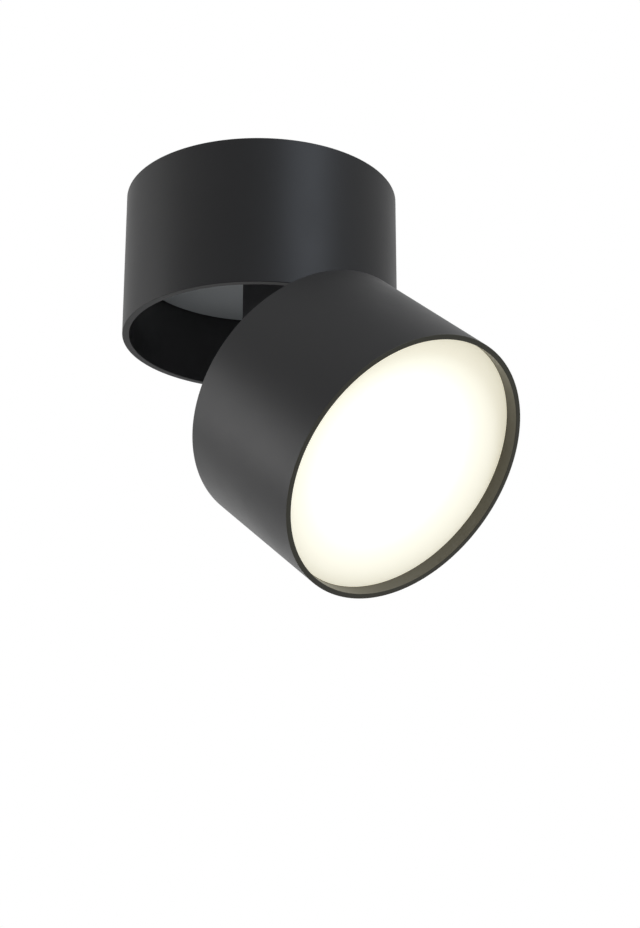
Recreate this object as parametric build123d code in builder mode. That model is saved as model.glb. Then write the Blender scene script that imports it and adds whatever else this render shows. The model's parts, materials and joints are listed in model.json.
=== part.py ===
from build123d import *

import os
from math import cos, radians, sin, sqrt

# Folding ceiling spotlight: a base drum on the ceiling, a turntable inside it,
# and a lamp head on a cranked arm that is hinged under the turntable.
# Millimetres and degrees. +Z is up, the origin is the middle of the ceiling face,
# and +X is the way the head tips out. The head is drawn at its photographed tilt.

# Clearances
RUNNING_FIT = 0.05  # radial, a shaft that turns in its hole
SEAT_FIT = 0.05  # radial, a piece held still in its hole
SLIP = 0.05  # between flat faces that slide on each other

# Base drum
BASE_DIAMETER = 100.0
BASE_WALL = 2.5
CUP_DEPTH = 27.7  # open rim to the turntable
BULKHEAD_THICKNESS = 3.0
DRIVER_SPACE = 18.5  # bulkhead to the ceiling plate
EDGE_CHAMFER = 0.2

# Ceiling plate
PLATE_THICKNESS = 1.5
PLATE_GAP = 0.5  # plate edge to the drum's wall
CABLE_HOLE_RADIUS = 10.0
SLOT_WIDTH = 4.5
SLOT_LENGTH = 14.0
SLOT_EDGE = 17.0  # plate edge to the middle of a slot
PLATE_BAR = 27.0  # width of the bar across the plate
PLATE_RIM = 8.0
EAR_ANGLES = (45.0, 225.0)
EAR_WIDTH = 12.0
EAR_HEIGHT = 13.0
EAR_THICKNESS = 2.0
EAR_GAP = 0.5  # ear corners to the drum's wall
SIDE_SCREW_RADIUS = 2.0
SIDE_SCREW_LENGTH = 7.0
SIDE_SCREW_DROP = 8.5  # below the ceiling
SIDE_SCREW_SINK = 0.5
SIDE_SCREW_KEY = 1.1  # hexagon socket, radius to its corners
SIDE_SCREW_KEY_DEPTH = 2.3

# Driver and supply terminals
DRIVER_WALL_GAP = 2.0
DRIVER_SAGITTA = 11.5  # drum wall to the driver's outer long side
DRIVER_NUT_GAP = 3.0
DRIVER_HEADROOM = 3.0
DRIVER_COVER_THICKNESS = 1.2
DRIVER_COVER_ROUND = 0.6
DRIVER_CORNER = 2.0
DRIVER_EAR = 7.0
DRIVER_EAR_THICKNESS = 2.5
DRIVER_SCREW_RADIUS = 1.5
DRIVER_SCREW_HEAD = 2.7
TERMINAL_POLES = 3
TERMINAL_PITCH = 7.0
TERMINAL_DEPTH = 14.0
TERMINAL_HEIGHT = 10.0
TERMINAL_CORNER = 1.0
TERMINAL_WIRE_RADIUS = 1.8
TERMINAL_WIRE_HEIGHT = 3.3
TERMINAL_WIRE_DEPTH = 9.3
TERMINAL_SCREW_RADIUS = 1.9
TERMINAL_WELL_DEPTH = 5.0
TERMINAL_SCREW_LENGTH = 3.3

# Turntable and its bearing
TURNTABLE_THICKNESS = 3.5
TURNTABLE_GAP = 0.6  # turntable edge to the cup's wall
HUB_RADIUS = 8.0
HUB_BORE_RADIUS = 4.5
HUB_PROUD = 1.0
FRICTION_THICKNESS = 0.75
FRICTION_WIDTH = 12.0
FRICTION_GAP = 0.5
SPRING_THICKNESS = 0.8
SPRING_RISE = 0.7
SPRING_WIDTH = 5.5
NUT_RADIUS = 13.0
NUT_HEIGHT = 4.5
NUT_SLOT_WIDTH = 3.0
NUT_SLOT_DEPTH = 2.5
NUT_SLOTS = 4
SWIVEL_LIMIT = 175.0
STOP_PIN_RADIUS = 1.5
STOP_PIN_GAP = 0.4
STOP_EDGE = 8.9  # turntable edge to the stop groove's middle
STOP_DEPTH = 2.0
GROMMET_WALL = 1.0
GROMMET_LIP = 1.6
GROMMET_LIP_THICKNESS = 1.2

# Hinge
TILT = 50.0  # head folded is 0, head level is 90
HINGE_INSET = 7.0  # cup wall to the pin's axis
HINGE_HEIGHT = 9.6  # base rim up to the pin's axis
FOLD_GAP = 3.1  # between the two drums when folded
BRACKET_WIDTH = 20.0
BRACKET_SHEET = 2.5
BRACKET_BACK = 0.6  # turntable axis to the bracket's back edge
BRACKET_GAP = 0.7  # bracket corners to the cup's wall
BRACKET_BEND = 2.0
CHEEK_DROP = 6.5  # pin's axis to the cheeks' lower edge
CHEEK_NOSE_ROUND = 5.0
CHEEK_BACK_ROUND = 1.0
NOTCH_GAP = 0.5
BRACKET_SCREW_RADIUS = 1.5
BRACKET_SCREW_HEAD = 2.7
BRACKET_SCREW_PITCH_Y = 8.0
BRACKET_SCREW_BACK = 11.0  # bracket's back edge to the first pair
BRACKET_SCREW_TIP = 12.0  # second pair to the bracket's tip
PIN_RADIUS = 2.5
PIN_HEAD_RADIUS = 4.2
PIN_HEAD_HEIGHT = 2.2
PIN_KEY_RADIUS = 1.7
PIN_KEY_DEPTH = 1.5
PIN_PROUD = 0.8
HINGE_WASHER = 0.5
HINGE_SPRING_THICKNESS = 0.6
HINGE_SPRING_RISE = 0.4
HINGE_SPRING_WIDTH = 2.0
HINGE_NUT_RADIUS = 4.6
HINGE_NUT_HEIGHT = 2.7

# Cranked arm
KNUCKLE_RADIUS = 5.0
RIM_CLEARANCE = 1.4  # arm to the base's rim when the head is level
SHANK_THICKNESS = 9.0
ARM_OUTER_ROUND = 6.0
ARM_INNER_ROUND = 2.0
FOOT_LENGTH = 24.0
FOOT_WIDTH = 27.0
FOOT_THICKNESS = 4.0
FOOT_CORNER = 3.0
FOOT_SCREW_EDGE = 3.6
ARM_SCREW_RADIUS = 1.75
ARM_SCREW_HEAD = 2.9

# Lamp head
HEAD_DIAMETER = 97.3
HEAD_LENGTH = 56.4
HEAD_WALL = 3.5
FRONT_WALL = 1.8
REAR_CHAMFER = 1.6  # inside the rear rim
COVER_RECESS = 2.0
COVER_THICKNESS = 2.5
COVER_GAP = 0.1
LEDGE_WIDTH = 5.0
LEDGE_THICKNESS = 3.0
COVER_SCREW_RADIUS = 1.5
COVER_SCREW_HEAD = 2.4
COVER_SCREWS = 4
LEAD_HOLE_RADIUS = 3.5
LEAD_HOLE_OFFSET = 12.0  # head axis to the lead's hole, away from the hinge
LENS_RECESS = 5.0
LENS_THICKNESS = 3.0
LENS_GAP = 0.1
GASKET_THICKNESS = 0.6
LIGHT_CHAMBER = 19.8  # heat sink to the gasket
SINK_THICKNESS = 4.0
FIN_GAP = 3.5  # fins to the rear cover
FIN_CLEARANCE = 0.6
FIN_THICKNESS = 1.6
FIN_PITCH = 7.0
FIN_COUNT = 11
SINK_SCREWS = 4
SINK_SCREW_RADIUS = 1.5
SINK_SCREW_HEAD = 2.4
REFLECTOR_GAP = 1.0  # reflector's foot to the heads of the heat sink's screws
REFLECTOR_WALL = 1.2
REFLECTOR_RIM = 0.6  # how far its rim stands out from the cone
BOARD_GAP = 0.5
BOARD_THICKNESS = 1.6
BOARD_SCREWS = 3
BOARD_SCREW_RADIUS = 1.25
BOARD_SCREW_HEAD = 2.3
BOARD_SCREW_EDGE = 4.0
LED_RINGS = 3
LEDS_IN_FIRST_RING = 6  # the second ring has twice as many, the third three times
LED_EDGE = 11.5  # board edge to the outermost ring
LED_WIDTH = 2.8
LED_LENGTH = 3.5
LED_HEIGHT = 0.8

# Screw heads
PAN_HEIGHT = 1.8
PAN_CHAMFER = 0.6
CROSS_WIDTH = 0.8
CROSS_SHARE = 1.2  # length of the cross over the head's radius
CROSS_DEPTH = 0.9
SCREW_BITE = 2.0  # how far a screw runs into the piece that holds it
COUNTERSINK = 90.0
HEXAGON = 6  # sides of a nut or a key socket

# Levels of the base, up from its rim
BASE_RADIUS = BASE_DIAMETER / 2
CUP_RADIUS = BASE_RADIUS - BASE_WALL
BASE_HEIGHT = (
    CUP_DEPTH + TURNTABLE_THICKNESS + SLIP + FRICTION_THICKNESS
    + BULKHEAD_THICKNESS + DRIVER_SPACE + PLATE_THICKNESS
)
RIM_Z = -BASE_HEIGHT
TURNTABLE_Z = RIM_Z + CUP_DEPTH
TURNTABLE_TOP_Z = TURNTABLE_Z + TURNTABLE_THICKNESS
BULKHEAD_Z = TURNTABLE_TOP_Z + SLIP + FRICTION_THICKNESS
BULKHEAD_TOP_Z = BULKHEAD_Z + BULKHEAD_THICKNESS
UPPER_RING_TOP_Z = BULKHEAD_TOP_Z + FRICTION_THICKNESS
SPRING_Z = UPPER_RING_TOP_Z + SLIP
NUT_Z = SPRING_Z + SPRING_THICKNESS + SPRING_RISE
HUB_TOP_Z = NUT_Z + NUT_HEIGHT + HUB_PROUD
PLATE_Z = -PLATE_THICKNESS

# Radii of the base and the turntable
PLATE_RADIUS = CUP_RADIUS - PLATE_GAP
EAR_RADIUS = sqrt((CUP_RADIUS - EAR_GAP) ** 2 - (EAR_WIDTH / 2) ** 2)
TURNTABLE_RADIUS = CUP_RADIUS - TURNTABLE_GAP
STOP_RADIUS = TURNTABLE_RADIUS - STOP_EDGE
FRICTION_RADIUS = HUB_RADIUS + FRICTION_GAP
GROMMET_LIP_RADIUS = HUB_BORE_RADIUS + GROMMET_LIP

# Driver and terminals, set between the nut and the drum's wall
DRIVER_INNER_Y = NUT_RADIUS + DRIVER_NUT_GAP
DRIVER_OUTER_Y = CUP_RADIUS - DRIVER_SAGITTA
DRIVER_WIDTH = DRIVER_OUTER_Y - DRIVER_INNER_Y
DRIVER_Y = (DRIVER_INNER_Y + DRIVER_OUTER_Y) / 2
DRIVER_SPAN = 2 * sqrt((CUP_RADIUS - DRIVER_WALL_GAP) ** 2 - DRIVER_OUTER_Y**2)
DRIVER_LENGTH = DRIVER_SPAN - 2 * DRIVER_EAR
DRIVER_HEIGHT = DRIVER_SPACE - DRIVER_HEADROOM - DRIVER_COVER_THICKNESS
DRIVER_SCREW_PITCH = DRIVER_SPAN - DRIVER_EAR
TERMINAL_LENGTH = TERMINAL_POLES * TERMINAL_PITCH
TERMINAL_Y = -(NUT_RADIUS + DRIVER_NUT_GAP + TERMINAL_DEPTH / 2)

# Hinge and bracket
HINGE_REACH = CUP_RADIUS - HINGE_INSET
HINGE_Z = RIM_Z + HINGE_HEIGHT
BRACKET_HALF = BRACKET_WIDTH / 2
CHANNEL_HALF = BRACKET_HALF - BRACKET_SHEET
CHEEK_TIP = sqrt((CUP_RADIUS - BRACKET_GAP) ** 2 - BRACKET_HALF**2)
CHEEK_Z = HINGE_Z - CHEEK_DROP
WEB_Z = TURNTABLE_Z - BRACKET_SHEET
ARM_HALF = CHANNEL_HALF - HINGE_WASHER - SLIP
HINGE_NUT_Y = BRACKET_HALF + HINGE_SPRING_THICKNESS + HINGE_SPRING_RISE
PIN_END_Y = HINGE_NUT_Y + HINGE_NUT_HEIGHT + PIN_PROUD
BRACKET_SCREW_FIRST = BRACKET_BACK + BRACKET_SCREW_BACK
BRACKET_SCREW_SECOND = CHEEK_TIP - BRACKET_SCREW_TIP
BRACKET_SCREW_PITCH_X = BRACKET_SCREW_SECOND - BRACKET_SCREW_FIRST
BRACKET_SCREW_X = (BRACKET_SCREW_FIRST + BRACKET_SCREW_SECOND) / 2

# Head, along its axis from the rear rim
HEAD_RADIUS = HEAD_DIAMETER / 2
HEAD_BORE = HEAD_RADIUS - HEAD_WALL
FRONT_BORE = HEAD_RADIUS - FRONT_WALL
LEDGE_RADIUS = HEAD_BORE - LEDGE_WIDTH
LEDGE_SCREW_RADIUS = HEAD_BORE - LEDGE_WIDTH / 2
COVER_INNER = COVER_RECESS + COVER_THICKNESS
LENS_FRONT = HEAD_LENGTH - LENS_RECESS
LENS_BACK = LENS_FRONT - LENS_THICKNESS
LENS_SEAT = LENS_BACK - GASKET_THICKNESS
SINK_FRONT = LENS_SEAT - LIGHT_CHAMBER
SINK_SEAT = SINK_FRONT - SINK_THICKNESS
FIN_RADIUS = LEDGE_RADIUS - FIN_CLEARANCE
REFLECTOR_FOOT = LEDGE_SCREW_RADIUS - SINK_SCREW_HEAD - REFLECTOR_GAP - REFLECTOR_WALL
BOARD_RADIUS = REFLECTOR_FOOT - BOARD_GAP
BOARD_SCREW_CIRCLE = BOARD_RADIUS - BOARD_SCREW_EDGE
BOARD_FRONT = SINK_FRONT + BOARD_THICKNESS
LED_RING_PITCH = (BOARD_RADIUS - LED_EDGE) / LED_RINGS

# Arm, measured from the pin
ARM_TOE = HINGE_HEIGHT + RIM_CLEARANCE
ARM_HEEL = ARM_TOE + SHANK_THICKNESS
FOOT_DROP = HINGE_HEIGHT + FOLD_GAP + COVER_RECESS
FOOT_X = HINGE_REACH - ARM_TOE - FOOT_LENGTH / 2
FOOT_SCREW_PITCH_X = FOOT_LENGTH - 2 * FOOT_SCREW_EDGE
FOOT_SCREW_PITCH_Y = FOOT_WIDTH - 2 * FOOT_SCREW_EDGE

# Planes: sections hold (radius, height) or (radius, depth) points
AXIS_OUT = Vector(cos(radians(TILT)), 0, sin(radians(TILT)))
AXIS_FORWARD = Vector(sin(radians(TILT)), 0, -cos(radians(TILT)))
HINGE = Vector(HINGE_REACH, 0, HINGE_Z)
HEAD_REAR = HINGE + AXIS_FORWARD * (HINGE_HEIGHT + FOLD_GAP) - AXIS_OUT * HINGE_REACH
BASE_SECTION = Plane.XZ
PIN_LINE = Plane(HINGE, x_dir=(1, 0, 0), z_dir=(0, 1, 0))
PIN_SECTION = Plane(HINGE, x_dir=(1, 0, 0), z_dir=(0, 0, 1))
PIN_AXIS = Axis(HINGE, (0, 1, 0))
ARM_SIDE = Plane(HINGE, x_dir=AXIS_OUT, z_dir=(0, -1, 0))
HEAD = Plane(HEAD_REAR, x_dir=AXIS_OUT, z_dir=AXIS_FORWARD)
HEAD_SECTION = Plane(HEAD_REAR, x_dir=AXIS_OUT, z_dir=(0, 1, 0))
HEAD_AXIS = Axis(HEAD_REAR, AXIS_FORWARD)
HEAD_BACK = Plane(HEAD_REAR, x_dir=AXIS_OUT, z_dir=-AXIS_FORWARD)


def section(plane, *points):
    """A closed profile through these points of a plane."""
    with BuildSketch(plane) as profile:
        with BuildLine():
            Polyline(*points, close=True)
        make_face()
    return profile.sketch


def band(plane, inner, outer, low, high):
    """The profile of a plain ring, to be turned about its axis."""
    return section(plane, (inner, low), (outer, low), (outer, high), (inner, high))


def radial_plane(angle, radius, z):
    """A plane that faces out of the base at this angle, with its Y axis up."""
    x, y = cos(radians(angle)), sin(radians(angle))
    return Plane((radius * x, radius * y, z), x_dir=(-y, x, 0), z_dir=(x, y, 0))


def pan_screw(radius, head_radius, length):
    """A pan-head screw with a cross recess, its head on the plane z = 0."""
    with BuildPart() as screw:
        with BuildSketch():
            Circle(head_radius)
        extrude(amount=PAN_HEIGHT)
        chamfer(screw.edges().group_by(Axis.Z)[-1], PAN_CHAMFER)
        with BuildSketch(Plane.XY.offset(PAN_HEIGHT)):
            Rectangle(head_radius * CROSS_SHARE, CROSS_WIDTH)
            Rectangle(CROSS_WIDTH, head_radius * CROSS_SHARE)
        extrude(amount=-CROSS_DEPTH, mode=Mode.SUBTRACT)
        with BuildSketch():
            Circle(radius)
        extrude(amount=-length)
    return screw.part


def flat_screw(radius, head_radius, length):
    """A countersunk screw with a cross recess, its flat top on the plane z = 0."""
    drop = head_radius - radius
    with BuildPart() as screw:
        revolve(
            section(Plane.XZ, (0, 0), (head_radius, 0), (radius, -drop), (radius, -length), (0, -length)),
            axis=Axis.Z,
        )
        with BuildSketch():
            Rectangle(head_radius * CROSS_SHARE, CROSS_WIDTH)
            Rectangle(CROSS_WIDTH, head_radius * CROSS_SHARE)
        extrude(amount=-CROSS_DEPTH, mode=Mode.SUBTRACT)
    return screw.part


def save(builder, name):
    """Label a finished piece and write its file."""
    builder.part.label = name
    export_step(builder.part, f"parts/{name}.step")


os.makedirs("parts", exist_ok=True)

# Base drum: an open cup below the bulkhead, the driver's room above it
with BuildPart() as base_housing:
    revolve(
        section(
            BASE_SECTION,
            (BASE_RADIUS - EDGE_CHAMFER, RIM_Z),
            (BASE_RADIUS, RIM_Z + EDGE_CHAMFER),
            (BASE_RADIUS, -EDGE_CHAMFER),
            (BASE_RADIUS - EDGE_CHAMFER, 0),
            (CUP_RADIUS, 0),
            (CUP_RADIUS, BULKHEAD_TOP_Z),
            (HUB_RADIUS + RUNNING_FIT, BULKHEAD_TOP_Z),
            (HUB_RADIUS + RUNNING_FIT, BULKHEAD_Z),
            (CUP_RADIUS, BULKHEAD_Z),
            (CUP_RADIUS, RIM_Z),
        ),
        axis=Axis.Z,
    )
    with Locations(*[radial_plane(a, BASE_RADIUS, -SIDE_SCREW_DROP) for a in EAR_ANGLES]):
        Hole(SIDE_SCREW_RADIUS + SEAT_FIT, depth=2 * BASE_WALL)
    with BuildSketch(Plane.XY.offset(BULKHEAD_Z)):
        with Locations((-STOP_RADIUS, 0)):
            Circle(STOP_PIN_RADIUS + SEAT_FIT)
        with Locations((0, DRIVER_Y)):
            with GridLocations(DRIVER_SCREW_PITCH, 0, 2, 1):
                Circle(DRIVER_SCREW_RADIUS + SEAT_FIT)
    extrude(amount=BULKHEAD_THICKNESS, mode=Mode.SUBTRACT)
save(base_housing, "base_housing")

# Ceiling plate: a disc with two windows, screw slots, a cable hole and two bent ears
with BuildPart() as ceiling_plate:
    with BuildSketch(Plane.XY.offset(PLATE_Z)):
        Circle(PLATE_RADIUS)
        Circle(PLATE_RADIUS - PLATE_RIM, mode=Mode.SUBTRACT)
        Rectangle(2 * (PLATE_RADIUS - PLATE_RIM / 2), PLATE_BAR)
        Circle(CABLE_HOLE_RADIUS, mode=Mode.SUBTRACT)
        with GridLocations(2 * (PLATE_RADIUS - SLOT_EDGE), 0, 2, 1):
            SlotOverall(SLOT_LENGTH, SLOT_WIDTH, mode=Mode.SUBTRACT)
    extrude(amount=PLATE_THICKNESS)
    for angle in EAR_ANGLES:
        with BuildSketch(radial_plane(angle, EAR_RADIUS, PLATE_Z)):
            with Locations((0, -EAR_HEIGHT / 2)):
                Rectangle(EAR_WIDTH, EAR_HEIGHT)
        extrude(amount=-EAR_THICKNESS)
    with Locations(*[radial_plane(a, EAR_RADIUS, -SIDE_SCREW_DROP) for a in EAR_ANGLES]):
        Hole(SIDE_SCREW_RADIUS + SEAT_FIT, depth=EAR_THICKNESS)
save(ceiling_plate, "ceiling_plate")

# Set screws, flush in the drum's wall
with BuildPart() as side_screws:
    for angle in EAR_ANGLES:
        face = radial_plane(angle, BASE_RADIUS - SIDE_SCREW_SINK, -SIDE_SCREW_DROP)
        with BuildSketch(face):
            Circle(SIDE_SCREW_RADIUS)
        extrude(amount=-SIDE_SCREW_LENGTH)
        with BuildSketch(face):
            RegularPolygon(SIDE_SCREW_KEY, HEXAGON)
        extrude(amount=-SIDE_SCREW_KEY_DEPTH, mode=Mode.SUBTRACT)
save(side_screws, "side_screws")

# LED driver: a plastic case with an ear at each end, a lid and two screws
with BuildPart() as driver_case:
    with BuildSketch(Plane.XY.offset(BULKHEAD_TOP_Z)):
        with Locations((0, DRIVER_Y)):
            RectangleRounded(DRIVER_LENGTH, DRIVER_WIDTH, DRIVER_CORNER)
    extrude(amount=DRIVER_HEIGHT)
    with BuildSketch(Plane.XY.offset(BULKHEAD_TOP_Z)):
        with Locations((0, DRIVER_Y)):
            RectangleRounded(DRIVER_SPAN, DRIVER_EAR, DRIVER_CORNER)
            with GridLocations(DRIVER_SCREW_PITCH, 0, 2, 1):
                Circle(DRIVER_SCREW_RADIUS + SEAT_FIT, mode=Mode.SUBTRACT)
    extrude(amount=DRIVER_EAR_THICKNESS)
save(driver_case, "driver_case")

with BuildPart() as driver_cover:
    with BuildSketch(Plane.XY.offset(BULKHEAD_TOP_Z + DRIVER_HEIGHT)):
        with Locations((0, DRIVER_Y)):
            RectangleRounded(DRIVER_LENGTH, DRIVER_WIDTH, DRIVER_CORNER)
    extrude(amount=DRIVER_COVER_THICKNESS)
    fillet(driver_cover.edges().group_by(Axis.Z)[-1], DRIVER_COVER_ROUND)
save(driver_cover, "driver_cover")

driver_screw = pan_screw(DRIVER_SCREW_RADIUS, DRIVER_SCREW_HEAD, DRIVER_EAR_THICKNESS + SCREW_BITE)
with BuildPart() as driver_screws:
    with Locations((0, DRIVER_Y, BULKHEAD_TOP_Z + DRIVER_EAR_THICKNESS)):
        with GridLocations(DRIVER_SCREW_PITCH, 0, 2, 1):
            add(driver_screw)
save(driver_screws, "driver_screws")

# Supply terminals: one block with a wire hole and a screw well for each pole
with BuildPart() as terminal_block:
    with BuildSketch(Plane.XY.offset(BULKHEAD_TOP_Z)):
        with Locations((0, TERMINAL_Y)):
            RectangleRounded(TERMINAL_LENGTH, TERMINAL_DEPTH, TERMINAL_CORNER)
    extrude(amount=TERMINAL_HEIGHT)
    with BuildSketch(Plane.XY.offset(BULKHEAD_TOP_Z + TERMINAL_HEIGHT)):
        with Locations((0, TERMINAL_Y)):
            with GridLocations(TERMINAL_PITCH, 0, TERMINAL_POLES, 1):
                Circle(TERMINAL_SCREW_RADIUS + SEAT_FIT)
    extrude(amount=-TERMINAL_WELL_DEPTH, mode=Mode.SUBTRACT)
    with BuildSketch(Plane.XZ.offset(TERMINAL_DEPTH / 2 - TERMINAL_Y)):
        with Locations((0, BULKHEAD_TOP_Z + TERMINAL_WIRE_HEIGHT)):
            with GridLocations(TERMINAL_PITCH, 0, TERMINAL_POLES, 1):
                Circle(TERMINAL_WIRE_RADIUS)
    extrude(amount=-TERMINAL_WIRE_DEPTH, mode=Mode.SUBTRACT)
save(terminal_block, "terminal_block")

with BuildPart() as terminal_screws:
    well_z = BULKHEAD_TOP_Z + TERMINAL_HEIGHT - TERMINAL_WELL_DEPTH
    with BuildSketch(Plane.XY.offset(well_z)):
        with Locations((0, TERMINAL_Y)):
            with GridLocations(TERMINAL_PITCH, 0, TERMINAL_POLES, 1):
                Circle(TERMINAL_SCREW_RADIUS)
    extrude(amount=TERMINAL_SCREW_LENGTH)
    with BuildSketch(Plane.XY.offset(well_z + TERMINAL_SCREW_LENGTH)):
        with Locations((0, TERMINAL_Y)):
            with GridLocations(TERMINAL_PITCH, 0, TERMINAL_POLES, 1):
                Rectangle(CROSS_WIDTH, 2 * TERMINAL_SCREW_RADIUS)
    extrude(amount=-CROSS_DEPTH, mode=Mode.SUBTRACT)
save(terminal_screws, "terminal_screws")

# Slip rings, one each side of the bulkhead
with BuildPart() as lower_friction_ring:
    ring = (FRICTION_RADIUS, FRICTION_RADIUS + FRICTION_WIDTH, BULKHEAD_Z - FRICTION_THICKNESS, BULKHEAD_Z)
    revolve(band(BASE_SECTION, *ring), axis=Axis.Z)
save(lower_friction_ring, "lower_friction_ring")

with BuildPart() as upper_friction_ring:
    ring = (FRICTION_RADIUS, FRICTION_RADIUS + SPRING_WIDTH, BULKHEAD_TOP_Z, UPPER_RING_TOP_Z)
    revolve(band(BASE_SECTION, *ring), axis=Axis.Z)
save(upper_friction_ring, "upper_friction_ring")

# Stop pin, pressed into the bulkhead and hanging into the turntable's groove
with BuildPart() as stop_pin:
    pin_foot_z = TURNTABLE_TOP_Z - STOP_DEPTH + STOP_PIN_GAP
    with BuildSketch(Plane.XY.offset(pin_foot_z)):
        with Locations((-STOP_RADIUS, 0)):
            Circle(STOP_PIN_RADIUS)
    extrude(amount=BULKHEAD_TOP_Z - pin_foot_z)
save(stop_pin, "stop_pin")

# Turntable: a disc with a hollow hub, a stop groove and tapped holes for the bracket
with BuildPart() as turntable:
    revolve(
        section(
            BASE_SECTION,
            (HUB_BORE_RADIUS, TURNTABLE_Z),
            (TURNTABLE_RADIUS - EDGE_CHAMFER, TURNTABLE_Z),
            (TURNTABLE_RADIUS, TURNTABLE_Z + EDGE_CHAMFER),
            (TURNTABLE_RADIUS, TURNTABLE_TOP_Z),
            (HUB_RADIUS, TURNTABLE_TOP_Z),
            (HUB_RADIUS, HUB_TOP_Z),
            (HUB_BORE_RADIUS, HUB_TOP_Z),
        ),
        axis=Axis.Z,
    )
    groove_line = CenterArc((0, 0), STOP_RADIUS, 180 - SWIVEL_LIMIT, 2 * SWIVEL_LIMIT)
    with BuildSketch(Plane.XY.offset(TURNTABLE_TOP_Z)):
        SlotArc(groove_line, 2 * (STOP_PIN_RADIUS + STOP_PIN_GAP))
    extrude(amount=-STOP_DEPTH, mode=Mode.SUBTRACT)
    with BuildSketch(Plane.XY.offset(TURNTABLE_Z)):
        with Locations((BRACKET_SCREW_X, 0)):
            with GridLocations(BRACKET_SCREW_PITCH_X, BRACKET_SCREW_PITCH_Y, 2, 2):
                Circle(BRACKET_SCREW_RADIUS + SEAT_FIT)
    extrude(amount=SCREW_BITE, mode=Mode.SUBTRACT)
save(turntable, "turntable")

# Rubber bush in the hub, for the lead to the head
with BuildPart() as hub_grommet:
    bush_radius = HUB_BORE_RADIUS - SEAT_FIT
    revolve(
        section(
            BASE_SECTION,
            (bush_radius - GROMMET_WALL, TURNTABLE_Z - GROMMET_LIP_THICKNESS),
            (GROMMET_LIP_RADIUS, TURNTABLE_Z - GROMMET_LIP_THICKNESS),
            (GROMMET_LIP_RADIUS, TURNTABLE_Z),
            (bush_radius, TURNTABLE_Z),
            (bush_radius, TURNTABLE_TOP_Z),
            (bush_radius - GROMMET_WALL, TURNTABLE_TOP_Z),
        ),
        axis=Axis.Z,
    )
save(hub_grommet, "hub_grommet")

# Coned spring disc and slotted nut that hold the hub
with BuildPart() as swivel_spring:
    spring_outer = FRICTION_RADIUS + SPRING_WIDTH
    revolve(
        section(
            BASE_SECTION,
            (FRICTION_RADIUS, SPRING_Z + SPRING_RISE),
            (spring_outer, SPRING_Z),
            (spring_outer, SPRING_Z + SPRING_THICKNESS),
            (FRICTION_RADIUS, SPRING_Z + SPRING_THICKNESS + SPRING_RISE),
        ),
        axis=Axis.Z,
    )
save(swivel_spring, "swivel_spring")

with BuildPart() as swivel_nut:
    with BuildSketch(Plane.XY.offset(NUT_Z)):
        Circle(NUT_RADIUS)
        Circle(HUB_RADIUS + SEAT_FIT, mode=Mode.SUBTRACT)
        with PolarLocations(NUT_RADIUS, NUT_SLOTS):
            Rectangle(2 * NUT_SLOT_DEPTH, NUT_SLOT_WIDTH, mode=Mode.SUBTRACT)
    extrude(amount=NUT_HEIGHT)
save(swivel_nut, "swivel_nut")

# Hinge bracket: a pressed channel under the turntable, open below and at both ends
with BuildPart() as hinge_bracket:
    with BuildSketch(BASE_SECTION) as cheek:
        with BuildLine():
            Polyline(
                (BRACKET_BACK, TURNTABLE_Z),
                (BRACKET_BACK, CHEEK_Z),
                (CHEEK_TIP, CHEEK_Z),
                (CHEEK_TIP, TURNTABLE_Z),
                close=True,
            )
        make_face()
        fillet(cheek.vertices().group_by(Axis.Y)[0].sort_by(Axis.X)[-1], CHEEK_NOSE_ROUND)
        fillet(cheek.vertices().group_by(Axis.Y)[0].sort_by(Axis.X)[0], CHEEK_BACK_ROUND)
    extrude(amount=BRACKET_HALF, both=True)
    fillet(hinge_bracket.edges().filter_by(Axis.X).group_by(Axis.Z)[-1], BRACKET_BEND)
    with BuildSketch(BASE_SECTION):
        with Locations(((BRACKET_BACK + CHEEK_TIP) / 2, WEB_Z)):
            Rectangle(CHEEK_TIP, 2 * CUP_DEPTH, align=(Align.CENTER, Align.MAX))
    extrude(amount=CHANNEL_HALF, both=True, mode=Mode.SUBTRACT)
    with BuildSketch(PIN_LINE):
        Circle(PIN_RADIUS + SEAT_FIT)
    extrude(amount=BRACKET_WIDTH, both=True, mode=Mode.SUBTRACT)
    with BuildSketch(Plane.XY.offset(WEB_Z)):
        Circle(GROMMET_LIP_RADIUS + NOTCH_GAP)
        with Locations((BRACKET_SCREW_X, 0)):
            with GridLocations(BRACKET_SCREW_PITCH_X, BRACKET_SCREW_PITCH_Y, 2, 2):
                Circle(BRACKET_SCREW_RADIUS + SEAT_FIT)
    extrude(amount=BRACKET_SHEET, mode=Mode.SUBTRACT)
save(hinge_bracket, "hinge_bracket")

bracket_screw = pan_screw(BRACKET_SCREW_RADIUS, BRACKET_SCREW_HEAD, BRACKET_SHEET + SCREW_BITE)
with BuildPart() as bracket_screws:
    with Locations(Plane((BRACKET_SCREW_X, 0, WEB_Z), x_dir=(1, 0, 0), z_dir=(0, 0, -1))):
        with GridLocations(BRACKET_SCREW_PITCH_X, BRACKET_SCREW_PITCH_Y, 2, 2):
            add(bracket_screw)
save(bracket_screws, "bracket_screws")

# Hinge pin: a bolt across the cheeks, with a spring disc and a nut on its far end
with BuildPart() as hinge_pin:
    with BuildSketch(PIN_LINE.offset(-PIN_END_Y)):
        Circle(PIN_RADIUS)
    extrude(amount=PIN_END_Y + BRACKET_HALF)
    with BuildSketch(PIN_LINE.offset(BRACKET_HALF)):
        Circle(PIN_HEAD_RADIUS)
    extrude(amount=PIN_HEAD_HEIGHT)
    chamfer(hinge_pin.edges().group_by(Axis.Y)[-1], PAN_CHAMFER)
    with BuildSketch(PIN_LINE.offset(BRACKET_HALF + PIN_HEAD_HEIGHT)):
        RegularPolygon(PIN_KEY_RADIUS, HEXAGON)
    extrude(amount=-PIN_KEY_DEPTH, mode=Mode.SUBTRACT)
save(hinge_pin, "hinge_pin")

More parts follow.
